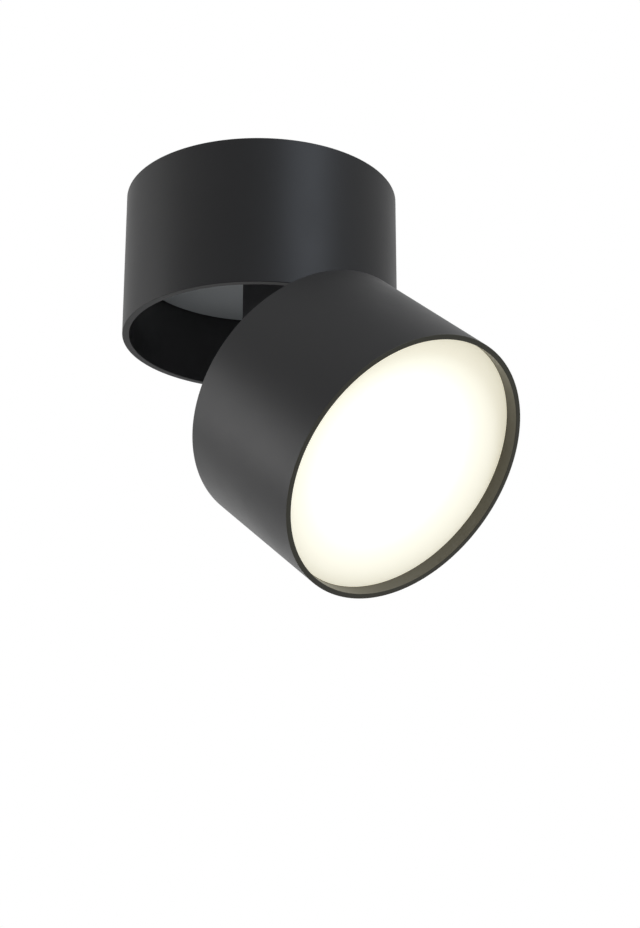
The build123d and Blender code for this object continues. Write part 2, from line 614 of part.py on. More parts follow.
with BuildPart() as hinge_washers:
    for low in (CHANNEL_HALF - HINGE_WASHER, -CHANNEL_HALF):
        ring = (PIN_RADIUS + SEAT_FIT, KNUCKLE_RADIUS, low, low + HINGE_WASHER)
        revolve(band(PIN_SECTION, *ring), axis=PIN_AXIS)
save(hinge_washers, "hinge_washers")

with BuildPart() as hinge_spring:
    bore = PIN_RADIUS + SEAT_FIT
    revolve(
        section(
            PIN_SECTION,
            (bore, -BRACKET_HALF - HINGE_SPRING_RISE),
            (bore + HINGE_SPRING_WIDTH, -BRACKET_HALF),
            (bore + HINGE_SPRING_WIDTH, -BRACKET_HALF - HINGE_SPRING_THICKNESS),
            (bore, -HINGE_NUT_Y),
        ),
        axis=PIN_AXIS,
    )
save(hinge_spring, "hinge_spring")

with BuildPart() as hinge_nut:
    with BuildSketch(PIN_LINE.offset(-HINGE_NUT_Y)):
        RegularPolygon(HINGE_NUT_RADIUS, HEXAGON, rotation=180 / HEXAGON)
        Circle(PIN_RADIUS + SEAT_FIT, mode=Mode.SUBTRACT)
    extrude(amount=-HINGE_NUT_HEIGHT)
save(hinge_nut, "hinge_nut")

# Cranked arm: a knuckle on the pin, a limb towards the middle and a shank to the head
with BuildPart() as hinge_arm:
    with BuildSketch(ARM_SIDE) as arm_outline:
        with BuildLine():
            Polyline(
                (0, KNUCKLE_RADIUS),
                (-ARM_HEEL, KNUCKLE_RADIUS),
                (-ARM_HEEL, -FOOT_DROP),
                (-ARM_TOE, -FOOT_DROP),
                (-ARM_TOE, -KNUCKLE_RADIUS),
                (0, -KNUCKLE_RADIUS),
                close=True,
            )
        make_face()
        crank = arm_outline.vertices().filter_by_position(Axis.X, -ARM_TOE, -ARM_TOE).sort_by(Axis.Y)[-1]
        fillet(crank, ARM_INNER_ROUND)
        fillet(arm_outline.vertices().group_by(Axis.X)[0].sort_by(Axis.Y)[-1], ARM_OUTER_ROUND)
        Circle(KNUCKLE_RADIUS)
    extrude(amount=ARM_HALF, both=True)
    with BuildSketch(HEAD.offset(COVER_RECESS)):
        with Locations((FOOT_X, 0)):
            RectangleRounded(FOOT_LENGTH, FOOT_WIDTH, FOOT_CORNER)
    extrude(amount=-FOOT_THICKNESS)
    with BuildSketch(HEAD.offset(COVER_RECESS)):
        with Locations((FOOT_X, 0)):
            with GridLocations(FOOT_SCREW_PITCH_X, FOOT_SCREW_PITCH_Y, 2, 2):
                Circle(ARM_SCREW_RADIUS + SEAT_FIT)
    extrude(amount=-FOOT_THICKNESS, mode=Mode.SUBTRACT)
    with BuildSketch(PIN_LINE):
        Circle(PIN_RADIUS + RUNNING_FIT)
    extrude(amount=BRACKET_WIDTH, both=True, mode=Mode.SUBTRACT)
save(hinge_arm, "hinge_arm")

arm_screw = pan_screw(ARM_SCREW_RADIUS, ARM_SCREW_HEAD, FOOT_THICKNESS + COVER_THICKNESS)
with BuildPart() as arm_screws:
    with Locations(HEAD_BACK.offset(FOOT_THICKNESS - COVER_RECESS)):
        with Locations((FOOT_X, 0)):
            with GridLocations(FOOT_SCREW_PITCH_X, FOOT_SCREW_PITCH_Y, 2, 2):
                add(arm_screw)
save(arm_screws, "arm_screws")

# Rear cover, set into the head so that the base's rim can pass
with BuildPart() as rear_cover:
    with BuildSketch(HEAD.offset(COVER_RECESS)):
        Circle(HEAD_BORE - COVER_GAP)
        with Locations((FOOT_X, 0)):
            with GridLocations(FOOT_SCREW_PITCH_X, FOOT_SCREW_PITCH_Y, 2, 2):
                Circle(ARM_SCREW_RADIUS + SEAT_FIT, mode=Mode.SUBTRACT)
        with Locations((-LEAD_HOLE_OFFSET, 0)):
            Circle(LEAD_HOLE_RADIUS, mode=Mode.SUBTRACT)
    extrude(amount=COVER_THICKNESS)
    with Locations(HEAD_BACK.offset(-COVER_RECESS)):
        with PolarLocations(LEDGE_SCREW_RADIUS, COVER_SCREWS, start_angle=180 / COVER_SCREWS):
            CounterSinkHole(COVER_SCREW_RADIUS + SEAT_FIT, COVER_SCREW_HEAD + SEAT_FIT, None, COUNTERSINK)
save(rear_cover, "rear_cover")

cover_screw = flat_screw(COVER_SCREW_RADIUS, COVER_SCREW_HEAD, COVER_THICKNESS + SCREW_BITE)
with BuildPart() as cover_screws:
    with Locations(HEAD_BACK.offset(-COVER_RECESS)):
        with PolarLocations(LEDGE_SCREW_RADIUS, COVER_SCREWS, start_angle=180 / COVER_SCREWS):
            add(cover_screw)
save(cover_screws, "cover_screws")

# Rubber bush where the lead goes into the head
with BuildPart() as cable_grommet:
    lead_point = HEAD_REAR - AXIS_OUT * LEAD_HOLE_OFFSET
    lead_section = Plane(lead_point, x_dir=AXIS_OUT, z_dir=(0, 1, 0))
    bush_radius = LEAD_HOLE_RADIUS - SEAT_FIT
    revolve(
        section(
            lead_section,
            (bush_radius - GROMMET_WALL, COVER_RECESS - GROMMET_LIP_THICKNESS),
            (bush_radius + GROMMET_LIP, COVER_RECESS - GROMMET_LIP_THICKNESS),
            (bush_radius + GROMMET_LIP, COVER_RECESS),
            (bush_radius, COVER_RECESS),
            (bush_radius, COVER_INNER),
            (bush_radius - GROMMET_WALL, COVER_INNER),
        ),
        axis=Axis(lead_point, AXIS_FORWARD),
    )
save(cable_grommet, "cable_grommet")

# Head drum: ledges for the rear cover and the heat sink, a step for the lens
with BuildPart() as head_housing:
    revolve(
        section(
            HEAD_SECTION,
            (HEAD_BORE + REAR_CHAMFER, 0),
            (HEAD_RADIUS - EDGE_CHAMFER, 0),
            (HEAD_RADIUS, EDGE_CHAMFER),
            (HEAD_RADIUS, HEAD_LENGTH - EDGE_CHAMFER),
            (HEAD_RADIUS - EDGE_CHAMFER, HEAD_LENGTH),
            (FRONT_BORE, HEAD_LENGTH),
            (FRONT_BORE, LENS_SEAT),
            (HEAD_BORE, LENS_SEAT),
            (HEAD_BORE, SINK_SEAT),
            (LEDGE_RADIUS, SINK_SEAT),
            (LEDGE_RADIUS, SINK_SEAT - LEDGE_THICKNESS),
            (HEAD_BORE, SINK_SEAT - LEDGE_THICKNESS),
            (HEAD_BORE, COVER_INNER + LEDGE_THICKNESS),
            (LEDGE_RADIUS, COVER_INNER + LEDGE_THICKNESS),
            (LEDGE_RADIUS, COVER_INNER),
            (HEAD_BORE, COVER_INNER),
            (HEAD_BORE, REAR_CHAMFER),
        ),
        axis=HEAD_AXIS,
    )
    with BuildSketch(HEAD.offset(COVER_INNER)):
        with PolarLocations(LEDGE_SCREW_RADIUS, COVER_SCREWS, start_angle=180 / COVER_SCREWS):
            Circle(COVER_SCREW_RADIUS + SEAT_FIT)
    extrude(amount=LEDGE_THICKNESS, mode=Mode.SUBTRACT)
    with BuildSketch(HEAD.offset(SINK_SEAT)):
        with PolarLocations(LEDGE_SCREW_RADIUS, SINK_SCREWS):
            Circle(SINK_SCREW_RADIUS + SEAT_FIT)
    extrude(amount=-LEDGE_THICKNESS, mode=Mode.SUBTRACT)
save(head_housing, "head_housing")

# Heat sink: a disc on the front ledge with straight fins behind it
with BuildPart() as heat_sink:
    with BuildSketch(HEAD.offset(SINK_SEAT)):
        Circle(HEAD_BORE - SEAT_FIT)
        with PolarLocations(LEDGE_SCREW_RADIUS, SINK_SCREWS):
            Circle(SINK_SCREW_RADIUS + SEAT_FIT, mode=Mode.SUBTRACT)
    extrude(amount=SINK_THICKNESS)
    with BuildSketch(HEAD.offset(SINK_SEAT)):
        with GridLocations(FIN_PITCH, 0, FIN_COUNT, 1):
            Rectangle(FIN_THICKNESS, 2 * FIN_RADIUS)
        Circle(FIN_RADIUS, mode=Mode.INTERSECT)
    extrude(amount=COVER_INNER + FIN_GAP - SINK_SEAT)
    with BuildSketch(HEAD.offset(SINK_FRONT)):
        with PolarLocations(BOARD_SCREW_CIRCLE, BOARD_SCREWS):
            Circle(BOARD_SCREW_RADIUS + SEAT_FIT)
    extrude(amount=-SCREW_BITE, mode=Mode.SUBTRACT)
save(heat_sink, "heat_sink")

sink_screw = pan_screw(SINK_SCREW_RADIUS, SINK_SCREW_HEAD, SINK_THICKNESS + SCREW_BITE)
with BuildPart() as sink_screws:
    with Locations(HEAD.offset(SINK_FRONT)):
        with PolarLocations(LEDGE_SCREW_RADIUS, SINK_SCREWS):
            add(sink_screw)
save(sink_screws, "sink_screws")

# Light source: a metal-core board, its screws and rings of small light packages
with BuildPart() as led_board:
    with BuildSketch(HEAD.offset(SINK_FRONT)):
        Circle(BOARD_RADIUS)
        with PolarLocations(BOARD_SCREW_CIRCLE, BOARD_SCREWS):
            Circle(BOARD_SCREW_RADIUS + SEAT_FIT, mode=Mode.SUBTRACT)
    extrude(amount=BOARD_THICKNESS)
save(led_board, "led_board")

board_screw = pan_screw(BOARD_SCREW_RADIUS, BOARD_SCREW_HEAD, BOARD_THICKNESS + SCREW_BITE)
with BuildPart() as board_screws:
    with Locations(HEAD.offset(BOARD_FRONT)):
        with PolarLocations(BOARD_SCREW_CIRCLE, BOARD_SCREWS):
            add(board_screw)
save(board_screws, "board_screws")

with BuildPart() as led_packages:
    with BuildSketch(HEAD.offset(BOARD_FRONT)):
        for ring in range(1, LED_RINGS + 1):
            with PolarLocations(ring * LED_RING_PITCH, ring * LEDS_IN_FIRST_RING):
                Rectangle(LED_LENGTH, LED_WIDTH)
    extrude(amount=LED_HEIGHT)
save(led_packages, "led_packages")

# Reflector: a white cone from the board out to the diffuser, with a rim under the gasket
with BuildPart() as reflector:
    rim_radius = HEAD_BORE - SEAT_FIT
    revolve(
        section(
            HEAD_SECTION,
            (REFLECTOR_FOOT, SINK_FRONT),
            (REFLECTOR_FOOT + REFLECTOR_WALL, SINK_FRONT),
            (rim_radius - REFLECTOR_RIM, LENS_SEAT - REFLECTOR_WALL),
            (rim_radius, LENS_SEAT - REFLECTOR_WALL),
            (rim_radius, LENS_SEAT),
            (rim_radius - REFLECTOR_RIM - REFLECTOR_WALL, LENS_SEAT),
        ),
        axis=HEAD_AXIS,
    )
save(reflector, "reflector")

# Gasket and opal diffuser, seated on the step behind the front rim
with BuildPart() as lens_gasket:
    ring = (HEAD_BORE - REFLECTOR_WALL, FRONT_BORE - LENS_GAP, LENS_SEAT, LENS_BACK)
    revolve(band(HEAD_SECTION, *ring), axis=HEAD_AXIS)
save(lens_gasket, "lens_gasket")

with BuildPart() as diffuser:
    revolve(band(HEAD_SECTION, 0, FRONT_BORE - LENS_GAP, LENS_BACK, LENS_FRONT), axis=HEAD_AXIS)
save(diffuser, "diffuser")
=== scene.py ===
import json
import math

import bmesh
import bpy
from mathutils import Matrix, Vector


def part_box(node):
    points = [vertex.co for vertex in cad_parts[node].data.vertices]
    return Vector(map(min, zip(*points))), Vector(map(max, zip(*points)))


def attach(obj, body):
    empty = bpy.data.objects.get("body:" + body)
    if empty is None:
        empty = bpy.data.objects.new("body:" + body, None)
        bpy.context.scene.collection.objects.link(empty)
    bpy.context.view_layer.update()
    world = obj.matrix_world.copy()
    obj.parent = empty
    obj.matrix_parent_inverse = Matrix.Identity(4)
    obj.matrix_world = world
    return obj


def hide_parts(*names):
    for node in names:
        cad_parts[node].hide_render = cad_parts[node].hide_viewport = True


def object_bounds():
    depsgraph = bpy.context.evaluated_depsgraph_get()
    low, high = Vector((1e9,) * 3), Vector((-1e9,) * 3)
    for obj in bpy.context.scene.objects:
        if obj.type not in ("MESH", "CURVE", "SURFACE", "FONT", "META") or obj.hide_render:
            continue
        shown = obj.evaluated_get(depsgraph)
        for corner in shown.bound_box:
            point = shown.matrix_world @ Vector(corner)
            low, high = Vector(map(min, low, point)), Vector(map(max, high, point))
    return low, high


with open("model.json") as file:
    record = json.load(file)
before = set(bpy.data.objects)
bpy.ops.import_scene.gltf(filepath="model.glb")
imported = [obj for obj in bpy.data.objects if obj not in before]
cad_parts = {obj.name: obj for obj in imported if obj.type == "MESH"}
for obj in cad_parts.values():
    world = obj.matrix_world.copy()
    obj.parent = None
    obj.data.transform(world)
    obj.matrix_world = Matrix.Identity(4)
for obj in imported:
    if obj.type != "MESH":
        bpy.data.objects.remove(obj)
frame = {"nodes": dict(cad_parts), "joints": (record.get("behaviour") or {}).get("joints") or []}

cad_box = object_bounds()

# Ceiling plate: a pressed steel disc with two ears bent down, screwed to the ceiling before all else.
# It is zinc plated and passivated, so it has a cool grey spangle of small crystals.
MM = 0.001
PLATE_CRYSTAL = 1.6 * MM
ZINC_RELIEF = 0.02 * MM
ZINC_BLUE = (0.50, 0.52, 0.54, 1)
ZINC_PALE = (0.68, 0.68, 0.66, 1)


class Tone:
    """An output in a finish's node tree. Sums on it add Math nodes, and node() adds any other node."""

    def __init__(self, tree, socket=None):
        self.tree = tree
        self.socket = socket

    def node(self, kind, settings=None, sockets=None, out=0):
        """A new node: its settings first, then its sockets' values or links. out picks its output."""
        made = self.tree.nodes.new("ShaderNode" + kind)
        for name, value in (settings or {}).items():
            if name == "stops":
                ramp = made.color_ramp.elements
                while len(ramp) < len(value):
                    ramp.new(1)
                for stop, (position, colour) in zip(ramp, value):
                    stop.position = position
                    stop.color = colour
            else:
                setattr(made, name, value)
        for key, value in (sockets or {}).items():
            if isinstance(value, Tone):
                self.tree.links.new(value.socket, made.inputs[key])
            else:
                made.inputs[key].default_value = value
        return Tone(self.tree, made.outputs[out] if made.outputs else None)

    def math(self, operation, *terms):
        return self.node("Math", {"operation": operation}, dict(enumerate(terms)))

    def __add__(self, other):
        return self.math("ADD", self, other)

    def __radd__(self, other):
        return self.math("ADD", other, self)

    def __sub__(self, other):
        return self.math("SUBTRACT", self, other)

    def __rsub__(self, other):
        return self.math("SUBTRACT", other, self)

    def __mul__(self, other):
        return self.math("MULTIPLY", self, other)

    def __rmul__(self, other):
        return self.math("MULTIPLY", other, self)

    def __truediv__(self, other):
        return self.math("DIVIDE", self, other)

    def __rtruediv__(self, other):
        return self.math("DIVIDE", other, self)


def start_finish(name):
    """A new material with an empty node tree, and the tree to build its finish in."""
    material = bpy.data.materials.new(name)
    material.use_nodes = True
    material.node_tree.nodes.clear()
    return material, Tone(material.node_tree)


def close_finish(tone, sockets):
    """Ends a finish in a Principled surface with these sockets."""
    tone.node("OutputMaterial", None, {"Surface": tone.node("BsdfPrincipled", None, sockets)})


def grain(tone, place, size, detail=2.0):
    """Soft noise from 0 to 1 with features about this many metres across."""
    return tone.node("TexNoise", None, {"Vector": place, "Scale": 1 / size, "Detail": detail}, "Fac")


def blend(tone, mask, first, second):
    """A colour between two, by a mask from 0 to 1."""
    return tone.node("Mix", {"data_type": "RGBA"}, {0: mask, 6: first, 7: second}, 2)


def relief(tone, height, depth, strength):
    """A surface normal with a height from 0 to 1 raised by depth metres."""
    return tone.node("Bump", None, {"Strength": strength, "Distance": depth, "Height": height}, "Normal")


def zinc_plating(name, crystal, roughness):
    """Passivated zinc on steel: crystals of a given size that differ a little in tone and gloss."""
    material, zinc = start_finish(name)
    place = zinc.node("TexCoord", out="Object")
    spangle = zinc.node("TexVoronoi", None, {"Vector": place, "Scale": 1 / crystal}, "Color")
    shade = zinc.node("SeparateColor", None, {"Color": spangle}, "Red")
    haze = grain(zinc, place, size=6 * crystal)
    pits = grain(zinc, place, size=crystal / 3)
    close_finish(zinc, {
        "Base Color": blend(zinc, 0.6 * shade + 0.4 * haze, ZINC_BLUE, ZINC_PALE),
        "Metallic": 1.0,
        "Roughness": roughness + 0.12 * shade + 0.1 * haze,
        "Normal": relief(zinc, pits, depth=ZINC_RELIEF, strength=0.4),
    })
    return material


def dress(finish, *names):
    """Gives CAD nodes a finish."""
    for name in names:
        materials = frame["nodes"][name].data.materials
        materials.clear()
        materials.append(finish)


dress(zinc_plating("zinc_plate", PLATE_CRYSTAL, roughness=0.3), "ceiling_plate")

# Base drum: a die-cast aluminium cup with a bulkhead across it, turned outside and powder coated matt
# black. Inside the cup the coat is glossier and painted lighter, as painted light in the cup's shade.
# It slides up over the ceiling plate and hides it, and two side screws in its wall hold it to the
# plate's ears.
BASE_WALL = 2.5 * MM
EDGE_ROUND = 0.2 * MM
CAST_ROUND = 0.3 * MM
HUB_HOLE = 8.05 * MM
SIDE_HOLE = 2.05 * MM
SIDE_HOLE_ANGLES = (45, 225)
PIN_HOLE = 1.55 * MM
DRUM_STEPS = 240
ARC_STEPS = 6
HOLE_STEPS = 48
WELD = 0.001 * MM
HAIR = 0.02 * MM
FLAT_WEIGHT = 60
COAT_PEEL = 0.7 * MM
COAT_CLOUD = 14 * MM
COAT_SPECK = 0.25 * MM
COAT_RELIEF = 0.02 * MM
COAT_BLACK = (0.003, 0.003, 0.0033, 1)
COAT_SOOT = (0.007, 0.007, 0.0077, 1)
# The two cup colours below are a lighter copy of the black coat: painted light in the shade inside the
# cup.
CUP_PAINTED_LIGHT_BLACK = (0.020, 0.020, 0.021, 1)
CUP_PAINTED_LIGHT_GREY = (0.031, 0.031, 0.033, 1)


def outline_of(corners):
    """The outline through (radius, height, rounding) corners, with an arc at each corner."""
    points = []
    for before, here, after in zip(corners[-1:] + corners[:-1], corners, corners[1:] + corners[:1]):
        corner = Vector(here[:2])
        rounding = here[2]
        back = (Vector(before[:2]) - corner).normalized()
        onward = (Vector(after[:2]) - corner).normalized()
        half = back.angle(onward) / 2
        centre = corner + (back + onward).normalized() * rounding / math.sin(half)
        reach = rounding / math.tan(half)
        first = (corner + back * reach - centre).normalized()
        last = (corner + onward * reach - centre).normalized()
        for step in range(ARC_STEPS + 1):
            points.append(centre + first.slerp(last, step / ARC_STEPS) * rounding)
    return points


def turned(name, corners, place):
    """A ring turned from an outline about the Z axis of place."""
    outline = outline_of(corners)
    mesh = bmesh.new()
    rings = []
    for step in range(DRUM_STEPS):
        turn = 2 * math.pi * step / DRUM_STEPS
        out = Vector((math.cos(turn), math.sin(turn), 0))
        rings.append([mesh.verts.new(place @ (out * p.x + Vector((0, 0, p.y)))) for p in outline])
    for ring, following in zip(rings, rings[1:] + rings[:1]):
        for i in range(len(outline)):
            j = (i + 1) % len(outline)
            mesh.faces.new((ring[i], following[i], following[j], ring[j])).smooth = True
    bmesh.ops.recalc_face_normals(mesh, faces=mesh.faces)
    data = bpy.data.meshes.new(name)
    mesh.to_mesh(data)
    mesh.free()
    piece = bpy.data.objects.new(name, data)
    bpy.context.scene.collection.objects.link(piece)
    return piece


def drill(piece, holes):
    """Drills round holes, each a radius, a length and a place whose Z axis runs through its middle."""
    mesh = bmesh.new()
    for radius, length, place in holes:
        bmesh.ops.create_cone(mesh, cap_ends=True, segments=HOLE_STEPS, radius1=radius, radius2=radius,
                              depth=length, matrix=place)
    bits_data = bpy.data.meshes.new("drill_bits")
    mesh.to_mesh(bits_data)
    mesh.free()
    bits = bpy.data.objects.new("drill_bits", bits_data)
    bpy.context.scene.collection.objects.link(bits)
    cut = piece.modifiers.new("drilling", "BOOLEAN")
    cut.operation = "DIFFERENCE"
    cut.solver = "EXACT"
    cut.object = bits
    bpy.context.view_layer.update()
    drilled = bpy.data.meshes.new_from_object(piece.evaluated_get(bpy.context.evaluated_depsgraph_get()))
    piece.modifiers.remove(cut)
    bpy.data.objects.remove(bits)
    bpy.data.meshes.remove(bits_data)
    mesh = bmesh.new()
    mesh.from_mesh(drilled)
    bmesh.ops.remove_doubles(mesh, verts=mesh.verts, dist=WELD)
    bmesh.ops.dissolve_degenerate(mesh, edges=mesh.edges, dist=WELD)
    mesh.to_mesh(drilled)
    mesh.free()
    piece.data = drilled


def even_shading(piece):
    """Keeps flats flat and rounds round, by weighing each corner's normal by the faces' areas."""
    weighted = piece.modifiers.new("even_shading", "WEIGHTED_NORMAL")
    weighted.mode = "FACE_AREA"
    weighted.weight = FLAT_WEIGHT


def powder_coat(name, dark, light, roughness, gloss):
    """Matt powder coat: a fine orange peel, with faint clouds where the coat is thicker."""
    material, coat = start_finish(name)
    place = coat.node("TexCoord", out="Object")
    peel = grain(coat, place, size=COAT_PEEL, detail=1.0)
    cloud = grain(coat, place, size=COAT_CLOUD, detail=3.0)
    speck = grain(coat, place, size=COAT_SPECK, detail=0.0)
    close_finish(coat, {
        "Base Color": blend(coat, 0.5 * cloud + 0.5 * speck, dark, light),
        "Roughness": roughness + 0.08 * cloud + 0.06 * speck,
        "Specular IOR Level": gloss,
        "Normal": relief(coat, peel, depth=COAT_RELIEF, strength=0.35),
    })
    return material


def recoat(piece, coat, place, radius, start):
    """Gives the faces within a radius of the Z axis of place, and past start along it, another coat."""
    coats = piece.data.materials
    coats.append(coat)
    back = place.inverted()
    for face in piece.data.polygons:
        middle = back @ face.center
        if middle.to_2d().length < radius and middle.z > start:
            face.material_index = len(coats) - 1


base_low, base_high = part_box("base_housing")
bulkhead_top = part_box("upper_friction_ring")[0].z
bulkhead_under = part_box("lower_friction_ring")[1].z
base_place = Matrix.Identity(4)
base_radius = base_high.x
cup_radius = base_radius - BASE_WALL
base_drum = turned("base_drum", [
    (base_radius, base_low.z, EDGE_ROUND),
    (base_radius, base_high.z, EDGE_ROUND),
    (cup_radius, base_high.z, CAST_ROUND),
    (cup_radius, bulkhead_top, CAST_ROUND),
    (HUB_HOLE, bulkhead_top, CAST_ROUND),
    (HUB_HOLE, bulkhead_under, CAST_ROUND),
    (cup_radius, bulkhead_under, CAST_ROUND),
    (cup_radius, base_low.z, EDGE_ROUND),
], base_place)
side_screw_low, side_screw_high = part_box("side_screws")
side_hole_height = (side_screw_low.z + side_screw_high.z) / 2
side_holes = [
    Matrix.Rotation(math.radians(angle), 4, "Z")
    @ Matrix.Translation((base_radius, 0, side_hole_height))
    @ Matrix.Rotation(math.pi / 2, 4, "Y")
    for angle in SIDE_HOLE_ANGLES
]
stop_low, stop_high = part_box("stop_pin")
stop_middle = (stop_low + stop_high) / 2
driver_low, driver_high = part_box("driver_screws")
driver_row = (driver_low.y + driver_high.y) / 2
driver_reach = driver_high.x - (driver_high.y - driver_low.y) / 2
bulkhead_holes = [
    Matrix.Translation((x, y, (bulkhead_top + bulkhead_under) / 2))
    for x, y in ((stop_middle.x, stop_middle.y), (driver_reach, driver_row), (-driver_reach, driver_row))
]
bulkhead_drill = 2 * (bulkhead_top - bulkhead_under)
drill(base_drum, [(SIDE_HOLE, 4 * BASE_WALL, place) for place in side_holes]
      + [(PIN_HOLE, bulkhead_drill, place) for place in bulkhead_holes])
even_shading(base_drum)
black_coat = powder_coat("black_powder_coat", COAT_BLACK, COAT_SOOT, roughness=0.41, gloss=0.21)
# The cup's coat is painted lighter than the outside coat: painted light in the cup's shade.
cup_painted_light_coat = powder_coat("cup_coat_painted_light", CUP_PAINTED_LIGHT_BLACK, CUP_PAINTED_LIGHT_GREY, roughness=0.25, gloss=0.5)
base_drum.data.materials.append(black_coat)
recoat(base_drum, cup_painted_light_coat, base_place, cup_radius + HAIR, base_low.z)
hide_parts("base_housing")
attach(base_drum, "base")

# Side screws and cover screws: small steel screws, chemically blacked and so a little glossier than the
# coat. The side screws hold the base drum to the plate's ears, and the cover screws hold the rear cover.
STEEL_FILM = 3 * MM
STEEL_LINES = 0.3 * MM
STEEL_RELIEF = 0.01 * MM
SCREW_BLACK = (0.008, 0.008, 0.009, 1)
SCREW_GREY = (0.022, 0.022, 0.024, 1)


def blacked_steel(name, dark, light, roughness):
    """Steel with a thin black coat: smooth, half gloss, with a faint trace of the drawing."""
    material, steel = start_finish(name)
    place = steel.node("TexCoord", out="Object")
    film = grain(steel, place, size=STEEL_FILM, detail=3.0)
    lines = grain(steel, place, size=STEEL_LINES, detail=1.0)
    close_finish(steel, {
        "Base Color": blend(steel, film, dark, light),
        "Roughness": roughness + 0.12 * film,
        "Specular IOR Level": 0.45,
        "Normal": relief(steel, lines, depth=STEEL_RELIEF, strength=0.3),
    })
    return material


blacked_screws = blacked_steel("blacked_screws", SCREW_BLACK, SCREW_GREY, roughness=0.28)
dress(blacked_screws, "side_screws", "cover_screws")

# Driver: a flat moulded box in white plastic with a snap-on cover, screwed to the bulkhead by its ears.
# The mould was spark eroded, so the faces have a fine matt grain.
MOULD_FLOW = 12 * MM
MOULD_RELIEF = 0.03 * MM
DRIVER_GRAIN = 0.5 * MM
DRIVER_DULL = (0.76, 0.76, 0.73, 1)
DRIVER_WHITE = (0.84, 0.84, 0.82, 1)


def moulded_plastic(name, dull, clean, roughness, texture):
    """Moulded plastic with the fine grain of a spark-eroded mould and faint flow clouds."""
    material, plastic = start_finish(name)
    place = plastic.node("TexCoord", out="Object")
    flow = grain(plastic, place, size=MOULD_FLOW, detail=3.0)
    spark = grain(plastic, place, size=texture, detail=2.0)
    close_finish(plastic, {
        "Base Color": blend(plastic, flow, dull, clean),
        "Roughness": roughness + 0.15 * spark,
        "Normal": relief(plastic, spark, depth=MOULD_RELIEF, strength=0.4),
    })
    return material


driver_plastic = moulded_plastic("white_driver_plastic", DRIVER_DULL, DRIVER_WHITE,
                                 roughness=0.42, texture=DRIVER_GRAIN)
dress(driver_plastic, "driver_case", "driver_cover")

# Terminal block: a grey moulded strip on the bulkhead, across from the driver, with a pole for each wire.
# The wires go in at its side, and a clamp screw in a well on top holds each of them.
TERMINAL_GRAIN = 0.6 * MM
TERMINAL_DULL = (0.46, 0.47, 0.48, 1)
TERMINAL_GREY = (0.58, 0.59, 0.60, 1)
terminal_plastic = moulded_plastic("grey_terminal_plastic", TERMINAL_DULL, TERMINAL_GREY,
                                   roughness=0.34, texture=TERMINAL_GRAIN)
dress(terminal_plastic, "terminal_block")

# Plated fasteners: the screws inside both drums, the pins of the stop and the hinge, and the two nuts.
# They are steel and zinc plated in a barrel, so their crystals are finer than the ceiling plate's.
FASTENER_CRYSTAL = 0.4 * MM
dress(zinc_plating("zinc_fasteners", FASTENER_CRYSTAL, roughness=0.24),
      "driver_screws", "terminal_screws", "stop_pin", "swivel_nut", "bracket_screws",
      "hinge_pin", "hinge_nut", "arm_screws", "sink_screws", "board_screws")

# Slip rings and hinge washers: turned from natural nylon, which keeps fine rings from the tool. The rings
# lie on each side of the bulkhead and the washers on each side of the arm, so both joints move evenly.
RING_PITCH = 0.25 * MM
WASHER_PITCH = 0.2 * MM
WAVE_RATE = 20
NYLON_CLOUD = 4 * MM
NYLON_RELIEF = 0.02 * MM
NYLON_YELLOWED = (0.72, 0.69, 0.61, 1)
NYLON_MILKY = (0.80, 0.78, 0.72, 1)


def turned_nylon(name, ring_pitch, axis):
    """Natural nylon turned about an axis. A wave texture runs through WAVE_RATE radians in a metre."""
    material, nylon = start_finish(name)
    place = nylon.node("TexCoord", out="Object")
    rings = nylon.node("TexWave", {"wave_type": "RINGS", "rings_direction": axis}, {
        "Vector": place,
        "Scale": 2 * math.pi / (WAVE_RATE * ring_pitch),
        "Distortion": 0.0,
    }, "Fac")
    milky = grain(nylon, place, size=NYLON_CLOUD, detail=2.0)
    close_finish(nylon, {
        "Base Color": blend(nylon, milky, NYLON_YELLOWED, NYLON_MILKY),
        "Roughness": 0.36 + 0.14 * milky,
        "Normal": relief(nylon, rings, depth=NYLON_RELIEF, strength=0.4),
    })
    return material


dress(turned_nylon("nylon_rings", RING_PITCH, "Z"), "lower_friction_ring", "upper_friction_ring")
dress(turned_nylon("nylon_washers", WASHER_PITCH, "Y"), "hinge_washers")

# Turntable: a cast aluminium disc with a hollow hub, sprayed satin grey. It turns under the bulkhead and
# shows as the flat grey floor of the cup.
TURNTABLE_GREY = (0.21, 0.22, 0.225, 1)
TURNTABLE_PALE = (0.255, 0.265, 0.27, 1)
turntable_paint = powder_coat("grey_turntable_paint", TURNTABLE_GREY, TURNTABLE_PALE,
                              roughness=0.6, gloss=0.3)
dress(turntable_paint, "turntable")

# Spring discs: coned rings pressed from spring steel and tempered blue-grey. One loads the swivel under
# its nut, and the other loads the hinge, so that the head stays where it is put.
TEMPER_BLOOM = 5 * MM
TEMPER_SCRATCH = 0.3 * MM
TEMPER_RELIEF = 0.01 * MM
TEMPER_BLUE = (0.30, 0.31, 0.35, 1)
TEMPER_STRAW = (0.42, 0.40, 0.37, 1)


def spring_steel(name):
    """Tempered spring steel with a faint straw and blue bloom."""
    material, steel = start_finish(name)
    place = steel.node("TexCoord", out="Object")
    bloom = grain(steel, place, size=TEMPER_BLOOM, detail=2.0)
    scratch = grain(steel, place, size=TEMPER_SCRATCH, detail=3.0)
    close_finish(steel, {
        "Base Color": blend(steel, bloom, TEMPER_BLUE, TEMPER_STRAW),
        "Metallic": 1.0,
        "Roughness": 0.26 + 0.16 * scratch,
        "Normal": relief(steel, scratch, depth=TEMPER_RELIEF, strength=0.3),
    })
    return material


dress(spring_steel("tempered_spring_steel"), "swivel_spring", "hinge_spring")

# Grommets and lens gasket: soft black rubber with a dry, slightly dusty skin. The grommets line the hub
# and the hole in the head's back, and the gasket lies behind the opal disc.
RUBBER_BLOOM = 3 * MM
RUBBER_SKIN = 0.4 * MM
RUBBER_RELIEF = 0.03 * MM
RUBBER_BLACK = (0.014, 0.014, 0.014, 1)
RUBBER_DUSTY = (0.034, 0.034, 0.033, 1)


